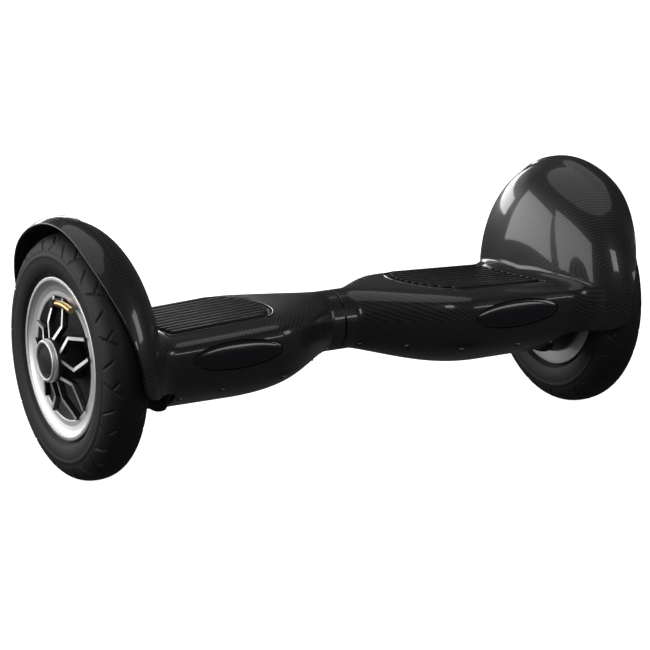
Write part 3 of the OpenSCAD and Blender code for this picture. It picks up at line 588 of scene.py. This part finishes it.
def pad_outline(grow, steps=28):
    turn = np.linspace(math.pi / 2, 3 * math.pi / 2, steps)
    shoulder = PAD_TIP + PAD_NOSE
    corner = 5.0
    ends = []
    for s in (1, -1):
        c = (PAD_END + grow - corner, s * (PAD_HALF + grow - corner))
        arc = [(c[0] + corner * math.cos(k), c[1] + s * corner * math.sin(k))
               for k in np.linspace(0, math.pi / 2, 6)]
        ends.append(arc if s > 0 else arc[::-1])
    nose = [(shoulder + (PAD_NOSE + grow) * math.cos(k), (PAD_HALF + grow) * math.sin(k)) for k in turn]
    return ends[0] + nose + ends[1]


def lamp_outline(grow, steps=72):
    return [(LAMP_X + (LAMP_L / 2 + grow) * math.cos(k), (LAMP_H / 2 + grow) * math.sin(k))
            for k in np.arange(steps) * 2 * math.pi / steps]


def standing(points):
    """A prism drawn over [x, z] and laid along Y."""
    return [(x, y, z) for x, z, y in points]


def lift(points, dz=AXLE_Z):
    return [(x, y, z + dz) for x, y, z in points]


def shell(name, upper, s, cutters, extra):
    """One moulding: a wall of even thickness, cut, with its open edges rounded by beads."""
    n, rows = (56, 168) if upper else (44, 150)
    quarter = np.pi / 2 * (np.arange(n + 1) / n) ** 1.5
    angles = np.concatenate([quarter, (np.pi - quarter[:-1])[::-1]]) + (0 if upper else np.pi)
    t = np.linspace(0, 1, rows)
    A, T = np.meshgrid(angles, t, indexing="ij")
    outer = skin(T, A)
    inner = outer - skin_normal(T, A) * WALL
    flat = np.abs(np.sin(A)) < 1e-6
    for sheet in (outer, inner):
        sheet[..., 2] = np.where(flat, 0, sheet[..., 2])
        sheet[..., 2] += AXLE_Z - (0 if upper else SEAM)
        sheet[..., 0] *= s
    cols = len(angles)
    base = cols * rows
    points = np.concatenate([outer.reshape(-1, 3), inner.reshape(-1, 3)])
    along = np.zeros(A.shape)
    along[:, 1:] = np.cumsum(np.linalg.norm(np.diff(outer, axis=1), axis=2), axis=1)
    girth = np.zeros(A.shape)
    girth[1:] = np.cumsum(np.linalg.norm(np.diff(outer, axis=0), axis=2), axis=0)
    girth -= girth[cols // 2]
    uv = np.stack([along, girth], -1).reshape(-1, 2)
    faces = grid_faces(cols, rows)
    faces += [tuple(base + v for v in reversed(f)) for f in grid_faces(cols, rows)]
    for k, turn in ((0, False), (rows - 1, True)):
        for i in range(cols - 1):
            f = (i * rows + k, (i + 1) * rows + k, (i + 1) * rows + k + base, i * rows + k + base)
            faces.append(f[::-1] if turn else f)
    for i, turn in ((0, True), (cols - 1, False)):
        for k in range(rows - 1):
            f = (i * rows + k, i * rows + k + 1, i * rows + k + 1 + base, i * rows + k + base)
            faces.append(f[::-1] if turn else f)
    made = piece(name, points, outward(points, faces), "shell_plastic", uvs=np.concatenate([uv, uv]))
    if cutters:
        cut(made, *cutters)
    edges = []
    for k in (0, rows - 1):
        path = (outer[:, k] + inner[:, k]) / 2
        edges.append(solid_mesh(*swept(path, LIP_R, 12, closed=False)))
    return added(made, *edges, *extra)


def cylinder(x, y, z0, z1, r, steps=24):
    turns = np.arange(steps) * 2 * math.pi / steps
    return prism([(x + r * math.cos(k), y + r * math.sin(k)) for k in turns], z0, z1)


def stepped(x, y, rings, steps=24):
    """A closed upright turned shape over [z, r] rings."""
    turns = np.arange(steps) * 2 * math.pi / steps
    points = [(x + r * math.cos(k), y + r * math.sin(k), z) for z, r in rings for k in turns]
    faces = grid_faces(len(rings), steps, wrap_cols=True)
    return points, faces + [tuple(reversed(range(steps))), tuple(range(len(points) - steps, len(points)))]


def flip_x(part, s):
    points, faces = part
    return ([(s * x, y, z) for x, y, z in points], faces)


def made_solid(part, s=1, up=AXLE_Z):
    points, faces = flip_x(part, s)
    return solid_mesh(lift(points, up), faces)


for side, s in SIDES.items():
    lamp_points, lamp_faces = prism(lamp_outline(0.45), -140, -80)
    lamp_cut = made_solid((standing(lamp_points), lamp_faces), s)
    rim_path = [(s * x, y, AXLE_Z + float(deck_z(x, y)) - 0.35) for x, y in pad_outline(1.6, 60)]
    lip = solid_mesh(*swept(rim_path, 1.25, 10))
    upper = shell(side + "_upper_cover", True, s,
                  [made_solid(prism(pad_outline(0.7, 48), 10, 60), s), lamp_cut], [lip])
    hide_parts(side + "_upper_shell")
    holes = []
    for x, y in SCREWS:
        for q in (-1, 1):
            seat = float(belly_z(x, y)) + 1.4
            tip = seat + (13 if y < 30 else 19)
            holes.append(made_solid(stepped(x, q * y, [(-75, 3.4), (seat, 3.4), (seat, 1.7), (tip, 1.7)]), s))
    if s > 0:
        for x, r in ((136.0, 11.2), (160.0, 9.7)):
            pts, fcs = cylinder(x, -14.0, 90, 112, r, 48)
            holes.append(made_solid((standing(pts), fcs), s))
    lower = shell(side + "_lower_cover", False, s, [lamp_cut] + holes, [])
    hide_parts(side + "_lower_shell")
    for one in (upper, lower):
        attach(one, side + "_half")


# ---------------------------------------------------------------- foot pads

ribs = Grow("pad_ribs", Count="Int", Span="Float", Width="Float", Height="Float",
            Shoulder="Float", Nose="Float", Half_Width="Float", End="Float")
count_less = ribs["Count"] - 1.0
pitch = ribs["Span"] * 2.0 / count_less
start = ribs.add("CombineXYZ", None, 0.0, ribs["Span"] * -1.0, 0.0)["Vector"]
line = ribs.add("MeshLine", None, Count=ribs["Count"], Start_Location=start,
                Offset=ribs.add("CombineXYZ", None, 0.0, pitch, 0.0)["Vector"])["Mesh"]
rib_y = ribs.add("SeparateXYZ", None, ribs.add("InputPosition")["Position"])["Y"]
share = (rib_y.math("ABSOLUTE") + 0.003) / ribs["Half Width"]
reach = (1 - share * share).math("MAXIMUM", 0.0).math("SQRT") * ribs["Nose"]
inner = ribs["Shoulder"] - reach + 0.005
length = ribs["End"] - 0.004 - inner
moved = ribs.add("SetPosition", None, Geometry=line,
                 Offset=ribs.add("CombineXYZ", None, inner + length * 0.5, 0.0, 0.0)["Vector"])["Geometry"]
rib_block = ribs.add("MeshCube", None, Size=(1.0, 1.0, 1.0))["Mesh"]
x_mid = ribs.add("SeparateXYZ", None, ribs.add("InputPosition")["Position"])["X"]
scale = ribs.add("CombineXYZ", None, (ribs["End"] - 0.004 - x_mid) * 2.0, ribs["Width"],
                 ribs["Height"])["Vector"]
ribs.end(ribs.add("InstanceOnPoints", None, Points=moved, Instance=rib_block, Scale=scale)["Instances"])

TILT = math.atan(0.046)
PAD_MID = (PAD_TIP + PAD_NOSE + PAD_END) / 2


def pad_sheet(steps=40):
    """The pad's sheet with rounded upper and lower edges, about its own top face."""
    loops = []
    for inset, z in ((0.9, -5.0), (0.0, -4.2), (0.0, -2.0), (0.35, -1.35), (1.0, -1.0), (3.2, -1.0),
                     (4.0, -1.5)):
        loops.append([(x, y, z) for x, y in pad_outline(-inset, steps)])
    n = len(loops[0])
    points = [p for loop in loops for p in loop]
    faces = grid_faces(len(loops), n, wrap_cols=True)
    faces += [tuple(reversed(range(n))), tuple(range((len(loops) - 1) * n, len(loops) * n))]
    return points, faces


seed = bpy.data.meshes.new("seed")
rib_mesh = ribs.grown(seed, "pad_rubber", Count=11, Span=(PAD_HALF - 9) * MM, Width=6.4 * MM, Height=3.7 * MM,
                      Shoulder=(PAD_TIP + PAD_NOSE) * MM, Nose=PAD_NOSE * MM, Half_Width=PAD_HALF * MM,
                      End=(PAD_END - 1.0) * MM)
rib_mesh.transform(Matrix.Translation((0, 0, (-1.5 + 1.85 - 0.99) * MM)))
for side, s in SIDES.items():
    tilt = (Matrix.Translation((0, 0, AXLE_Z * MM)) @ Matrix.Scale(s, 4, (1, 0, 0))
            @ Matrix.Translation((PAD_MID * MM, 0, float(deck_h(PAD_MID)) * MM))
            @ Matrix.Rotation(TILT, 4, "Y") @ Matrix.Translation((-PAD_MID * MM, 0, 0)))
    parts = []
    for mesh in (rib_mesh.copy(), solid_mesh(*pad_sheet())):
        mesh.transform(tilt)
        if s < 0:
            mesh.flip_normals()
        parts.append((mesh, 0))
    for q in (-1, 1):
        outline = [(143, q * 38 - 1.3), (153, q * 38 - 1.3), (153, q * 38 + 1.3), (143, q * 38 + 1.3)]
        parts.append((made_solid(prism(outline, 15.6, 24.0), s), 0))
    pad = softened(joined(side + "_tread_pad", parts, "pad_rubber"), 0.9, 3)
    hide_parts(side + "_foot_pad")
    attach(pad, "foot_pad_" + side)


# ---------------------------------------------------------------- lamps

def lens_dome():
    rings, around = 22, 96
    turns = np.arange(around) * 2 * math.pi / around
    points = []
    front = -104.6
    for k in range(rings + 1):
        rho = math.sin(k / rings * math.pi / 2)
        for a in turns:
            x, z = LAMP_X + LAMP_L / 2 * rho * math.cos(a), LAMP_H / 2 * rho * math.sin(a)
            y = front + 46 - math.sqrt(46 ** 2 - z ** 2) + 1.3 * rho ** 10
            points.append((x, y, z))
    points += [(LAMP_X + LAMP_L / 2 * math.cos(a), front + 7, LAMP_H / 2 * math.sin(a)) for a in turns]
    faces = grid_faces(rings + 2, around, wrap_cols=True)[around:]
    faces.append(tuple(range(around, 2 * around)))
    faces.append(tuple(range((rings + 1) * around, (rings + 2) * around)))
    return points[around:], [tuple(v - around for v in f) for f in faces]


def tidy_normals(mesh):
    work = bmesh.new()
    work.from_mesh(mesh)
    bmesh.ops.remove_doubles(work, verts=work.verts, dist=1e-7)
    bmesh.ops.recalc_face_normals(work, faces=work.faces)
    work.to_mesh(mesh)
    work.free()
    return mesh


for side, s in SIDES.items():
    lens = joined(side + "_lamp_cover", [(tidy_normals(made_solid(lens_dome(), s)), 0)], "lens")
    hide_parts(side + "_lamp_lens")
    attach(lens, side + "_half")


# ---------------------------------------------------------------- wheels

around_axle = Grow("copies_round_the_axle", Count="Int", Height="Float")
ring_points = around_axle.add("MeshLine", None, Count=around_axle["Count"], Offset=(0.0, 0.0, 0.0))["Mesh"]
turn = around_axle.add("InputIndex")["Index"] * (2 * math.pi) / around_axle["Count"]
copies = around_axle.add("InstanceOnPoints", None, Points=ring_points, Instance=around_axle["Geometry"],
                         Rotation=around_axle.add("CombineXYZ", None, turn, 0.0, 0.0)["Vector"])["Instances"]
raised = around_axle.add("CombineXYZ", None, 0.0, 0.0, around_axle["Height"])["Vector"]
around_axle.end(around_axle.add("Transform", None, Geometry=copies, Translation=raised)["Geometry"])

TREAD_COUNT = 15


def superellipse(w, h, rc, power, angles):
    return [(w * math.copysign(abs(math.cos(k)) ** (2 / power), math.cos(k)),
             rc + h * math.copysign(abs(math.sin(k)) ** (2 / power), math.sin(k))) for k in angles]


def distance_to(p, a, b):
    """Distance from points p to the stretch from a to b."""
    a, b = np.array(a, float), np.array(b, float)
    d = b - a
    t = np.clip(((p - a) @ d) / (d @ d), 0, 1)
    return np.linalg.norm(p - (a + t[..., None] * d), axis=-1)


# Grooves of one shoulder, each a stretch in millimetres: round the tyre, then across it
GROOVES = [((5, 10.5), (17, 30)), ((11.5, 21), (20, 13.5)), ((34, 30), (42, 18))]


def tread_segment(s):
    beta = np.radians(np.linspace(-40, 220, 104))
    crown = superellipse(25, 25, 102, 2.3, beta)
    outer = [(17.3, 84.3), (18.6, 86.5)] + [p for p in crown if p[1] > 88] + [(-18.6, 86.5), (-17.3, 84.3)]
    hollow = superellipse(20, 20, 102, 2.3, np.radians(np.linspace(220, -40, 24)))
    loop = np.array([(10.5, 79.4), (15.3, 79.4)] + outer + [(-15.3, 79.4), (-10.5, 79.4), (-10.5, 86.9)]
                    + hollow + [(10.5, 86.9)])
    steps = 42
    pitch = 2 * math.pi / TREAD_COUNT
    phis = np.linspace(0, pitch, steps + 1)
    length = pitch * TREAD_R
    depth_in = np.zeros((steps + 1, len(loop)))
    top = int(np.argmax(loop[:, 1]))
    arc = np.concatenate([[0], np.cumsum(np.linalg.norm(np.diff(loop, axis=0), axis=1))])
    across = arc - arc[top]
    normal = np.roll(loop, -1, 0) - np.roll(loop, 1, 0)
    normal = np.stack([-normal[:, 1], normal[:, 0]], -1)
    normal /= np.maximum(1e-9, np.linalg.norm(normal, axis=1))[:, None]
    if normal[top][1] < 0:
        normal = -normal
    is_tread = (loop[:, 1] > 98) & (np.abs(across) < 46)
    for sign, shift in ((1, 0.0), (-1, length / 2)):
        for wrap in (-length, 0, length):
            p = np.stack(np.meshgrid(phis * TREAD_R + shift + wrap, across * sign, indexing="ij"), -1)
            for a, b in GROOVES:
                d = distance_to(p, a, b)
                depth_in = np.maximum(depth_in, 1.4 * (1 - ease((d - 0.45) / 0.7)))
    depth_in *= is_tread
    ridge = 0.75 * np.exp(-((np.abs(across) - 36.0) / 1.1) ** 2) * (loop[:, 1] > 98)
    shoulder = 0.5 * np.exp(-((np.abs(across) - 32.5) / 0.8) ** 2) * (loop[:, 1] > 98)
    move = ridge[None, :] - depth_in - shoulder[None, :] * 0.6
    points = []
    for i, phi in enumerate(phis):
        for j, (x, r) in enumerate(loop):
            xx, rr = x + normal[j][0] * move[i, j], r + normal[j][1] * move[i, j]
            rr = min(rr, TYRE_R)
            points.append((s * (WHEEL_X + xx), -rr * math.cos(phi), rr * math.sin(phi)))
    faces = grid_faces(steps + 1, len(loop), wrap_cols=True)
    return points, faces


def rim_ring():
    return rounded([(RIM_IN, 60.02), (RIM_IN, 83.9), (RIM_IN + 2.5, 83.9), (RIM_IN + 4.5, 79.2), (RIM_IN + 13, 79.2),
                    (RIM_IN + 16, 76.2), (RIM_OUT - 16, 76.2), (RIM_OUT - 13, 79.2), (RIM_OUT - 4.5, 79.2),
                    (RIM_OUT - 2.5, 83.9), (RIM_OUT, 83.9), (RIM_OUT, 79.8), (RIM_OUT - 1.3, 78.9), (RIM_OUT - 3.6, 74.5),
                    (RIM_OUT - 4.7, 69.0), (RIM_OUT - 4.6, 63.0), (294.2, 63.0), (294.2, 60.02)], 1.1, 5)


def hub_ring():
    return rounded([(297.1, 17.53), (297.1, 22.5), (HUB_FACE - 5.2, 22.5), (HUB_FACE - 4.6, 21.7), (HUB_FACE - 1.4, 21.7),
                    (HUB_FACE, 20.6), (HUB_FACE, 18.4), (332.4, 17.53)], 0.7, 4)


SPOKE_A, ELBOW_A, ROOT_A, TIP_A = 17.0, 24.0, 8.0, 9.0


def spoke_front(r):
    return RIM_OUT - 1.6 + 10.5 * ((64.5 - min(r, 64.5)) / 44.0) ** 1.25


def fork(s):
    """Both arms of a forked spoke as closed prisms that dish out towards the hub."""
    parts = []
    for q in (-1, 1):
        corners = [(20.2, q * ROOT_A), (40.0, q * ELBOW_A), (64.3, q * TIP_A)]
        path = [np.array((-r * math.cos(math.radians(SPOKE_A + a)), r * math.sin(math.radians(SPOKE_A + a))))
                for r, a in corners]
        line = [lerp(path[0], path[1], t) for t in np.linspace(0, 1, 9)][:-1]
        line += [lerp(path[1], path[2], t) for t in np.linspace(0, 1, 10)]
        normals = []
        for i in range(len(line)):
            d = line[min(i + 1, len(line) - 1)] - line[max(i - 1, 0)]
            normals.append(np.array((-d[1], d[0])) / np.linalg.norm(d))
        points = []
        for c, n in zip(line, normals):
            r = float(np.linalg.norm(c))
            front = spoke_front(r)
            for w, x in ((-1.75, front), (1.75, front), (1.9, front - 0.4), (1.9, front - 6.4),
                         (-1.9, front - 6.4), (-1.9, front - 0.4)):
                y, z = c + n * w
                points.append((s * x, y, z))
        faces = grid_faces(len(line), 6, wrap_cols=True)
        faces += [tuple(reversed(range(6))), tuple(range(len(points) - 6, len(points)))]
        parts.append(solid_mesh(points, faces))
    work = bmesh.new()
    for mesh in parts:
        work.from_mesh(mesh)
    both = bpy.data.meshes.new("fork")
    work.to_mesh(both)
    work.free()
    return both


def cap_loop():
    return [(328.9, 0.0), (328.9, 16.6), (329.5, 17.45), (332.2, 17.45), (333.0, 16.8), (333.1, 15.4), (332.6, 14.9),
            (332.7, 13.0), (333.3, 9.0), (333.6, 4.0), (333.7, 0.0)]


def stem_path(s):
    """The valve stem leaves its boot towards the front and droops a little over the rim's dish."""
    start = np.array((319.9, -4.4, 58.1))
    steps = np.linspace(0, 1, 30)
    return [(s * (start[0] + 0.4 * t), start[1] - 38.2 * t,
             AXLE_Z + start[2] + 1.6 * math.sin(t * 3.0) - 2.6 * t * t) for t in steps]


def tapered(path, radii, sides=28):
    points, faces = swept(path, 1.0, sides, closed=False)
    path = np.asarray(path)
    points = np.asarray(points).reshape(len(path), sides, 3)
    points = path[:, None] + (points - path[:, None]) * np.asarray(radii)[:, None, None]
    return [tuple(p) for p in points.reshape(-1, 3)], faces


for side, s in SIDES.items():
    seg = bpy.data.meshes.new("tread")
    points, faces = tread_segment(s)
    seg.from_pydata([tuple(c * MM for c in p) for p in points], [], faces)
    tyre_mesh = tidy_normals(around_axle.grown(seg, "tyre_rubber", Count=TREAD_COUNT, Height=AXLE_Z * MM))
    tyre = shown(side + "_road_tyre", tyre_mesh, "tyre_rubber", 50)
    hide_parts(side + "_tyre")

    ring = tidy_normals(made_solid(turned([(x, r) for x, r in rim_ring()], 200), s, 0))
    hub = tidy_normals(made_solid(turned(hub_ring(), 120), s, 0))
    forks = around_axle.grown(fork(s), "spoke_alloy", Count=5, Height=AXLE_Z * MM)
    wheel = joined(side + "_forked_rim", [(ring, 0), (hub, 0), (forks, 1)],
                   ["rim_alloy", "spoke_alloy", "black_steel"], 38)
    # the flanks of the spokes and the inboard part of the hub take the black finish as painted shade, standing in
    # for the dark inside of the wheel
    for face in wheel.data.polygons:
        out = abs(face.center.x) * 1000
        r = math.hypot(face.center.y, face.center.z - AXLE_Z * MM) * 1000
        # spoke faces that look sideways rather than outwards get painted shade
        shaded_flank = face.material_index == 1 and abs(face.normal.x) < 0.55
        if shaded_flank or (face.material_index == 0 and r < HUB_R and out < HUB_SHADE_X):
            face.material_index = 2
    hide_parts(side + "_rim")

    cap_points, cap_faces = turned(cap_loop(), 96)
    cap_mesh = tidy_normals(solid_mesh(*flip_x((cap_points, cap_faces), s)))
    cap = joined(side + "_domed_cap", [(cap_mesh, 0)], "hub_cap")
    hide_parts(side + "_hub_cap")

    path = stem_path(s)
    radii = [3.3 + (0.1 * math.sin(i * 2.4) if i > 18 else 0) - (0.5 if i < 3 else 0)
             for i in range(len(path))]
    stem = joined(side + "_bent_valve", [(solid_mesh(*tapered(path, radii)), 0)], "brass")
    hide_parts(side + "_valve_stem")
    for one in (tyre, wheel, cap, stem):
        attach(one, "wheel_" + side)


# ---------------------------------------------------------------- finishes of the kept parts

slots = {p["node"]: p["material_slot"] for p in frame["record"]["subparts"]}
for node, made in frame["nodes"].items():
    data_ob = bpy.data.objects.get(made) if isinstance(made, str) else made
    kind = "hub_cap" if node.endswith("hub_cap") else slots[node]
    if len(data_ob.material_slots) == 0:
        data_ob.data.materials.append(None)
    for place in data_ob.material_slots:
        place.link = "OBJECT"
        place.material = FINISH[kind]


# ---------------------------------------------------------------- stage

def sheet_mesh(name, half, z):
    mesh = bpy.data.meshes.new(name)
    corners = [(-half, -half, z), (half, -half, z), (half, half, z), (-half, half, z)]
    mesh.from_pydata(corners, [], [(0, 1, 2, 3)])
    made = bpy.data.objects.new(name, mesh)
    bpy.context.scene.collection.objects.link(made)
    return made


floor = sheet_mesh("studio_floor", 30, -0.0006)
floor_paint = Paint("pale_floor")
floor.data.materials.append(floor_paint.finish((0.93, 0.93, 0.93), 0.85, Emission_Color=(1, 1, 1),
                                               Emission_Strength=1.0))
floor.visible_glossy = floor.visible_diffuse = False

PITCH = math.radians(4.75)


def levelled(v):
    c, k = math.cos(PITCH), math.sin(PITCH)
    return Vector((v[0], c * v[1] - k * v[2], k * v[1] + c * v[2]))


az, el, roll = math.radians(-29.64), math.radians(14.76), math.radians(-0.04)
target = Vector((-0.00794, 0, 0.12219 - 0.127))
back = Vector((math.sin(az) * math.cos(el), -math.cos(az) * math.cos(el), math.sin(el)))
right = Vector((math.cos(az), math.sin(az), 0))
up = back.cross(right)
r2 = right * math.cos(roll) + up * math.sin(roll)
u2 = up * math.cos(roll) - right * math.sin(roll)
eye = levelled(target + back * 3.3079) + Vector((0, 0, 0.127))
axes = [levelled(v) for v in (r2, u2, back)]
lens_data = bpy.data.cameras.new("front_left")
lens_data.sensor_width, lens_data.lens = 36.0, 36.0 * 3125.3 / 650
lens_data.clip_end = 100
camera = bpy.data.objects.new("front_left", lens_data)
bpy.context.scene.collection.objects.link(camera)
rows = [[axes[0][i], axes[1][i], axes[2][i], eye[i]] for i in range(3)]
camera.matrix_world = Matrix(rows + [[0, 0, 0, 1]])
bpy.context.scene.camera = camera


def softbox(name, place, aim, size, power):
    data = bpy.data.lights.new(name, "AREA")
    data.shape, data.size, data.size_y, data.energy = "RECTANGLE", size[0], size[1], power
    made = bpy.data.objects.new(name, data)
    bpy.context.scene.collection.objects.link(made)
    made.location = place
    made.rotation_euler = (Vector(aim) - Vector(place)).to_track_quat("-Z", "Y").to_euler()
    return made


sun_data = bpy.data.lights.new("overcast", "SUN")
sun_data.energy, sun_data.angle = 0.6, math.radians(70)
sun = bpy.data.objects.new("overcast", sun_data)
bpy.context.scene.collection.objects.link(sun)
sun.rotation_euler = (math.radians(-14), math.radians(-6), 0)
softbox("front_window", (-1.2, -2.6, 1.5), (0, 0, 0.1), (0.7, 1.0), 9)
softbox("right_window", (2.4, -1.8, 1.3), (0.2, 0, 0.15), (0.8, 1.2), 9)
softbox("left_side", (-3.2, 0.6, 0.9), (-0.3, 0, 0.1), (2.8, 2.2), 42)
softbox("left_back", (-1.9, 2.6, 0.8), (-0.3, 0, 0.1), (1.8, 1.5), 20)
softbox("front_band", (1.4, -2.6, 0.72), (0, 0, 0.12), (1.0, 0.32), 3.5)
softbox("behind", (0.3, 3.2, 0.75), (0, 0, 0.15), (2.2, 0.5), 14)

world = bpy.data.worlds.new("studio")
bpy.context.scene.world = world
world.use_nodes = True
sky = world.node_tree.nodes["Background"]
sky.inputs["Color"].default_value = (1, 1, 1, 1)
sky.inputs["Strength"].default_value = 0.045
bpy.context.scene.view_settings.view_transform = "Standard"
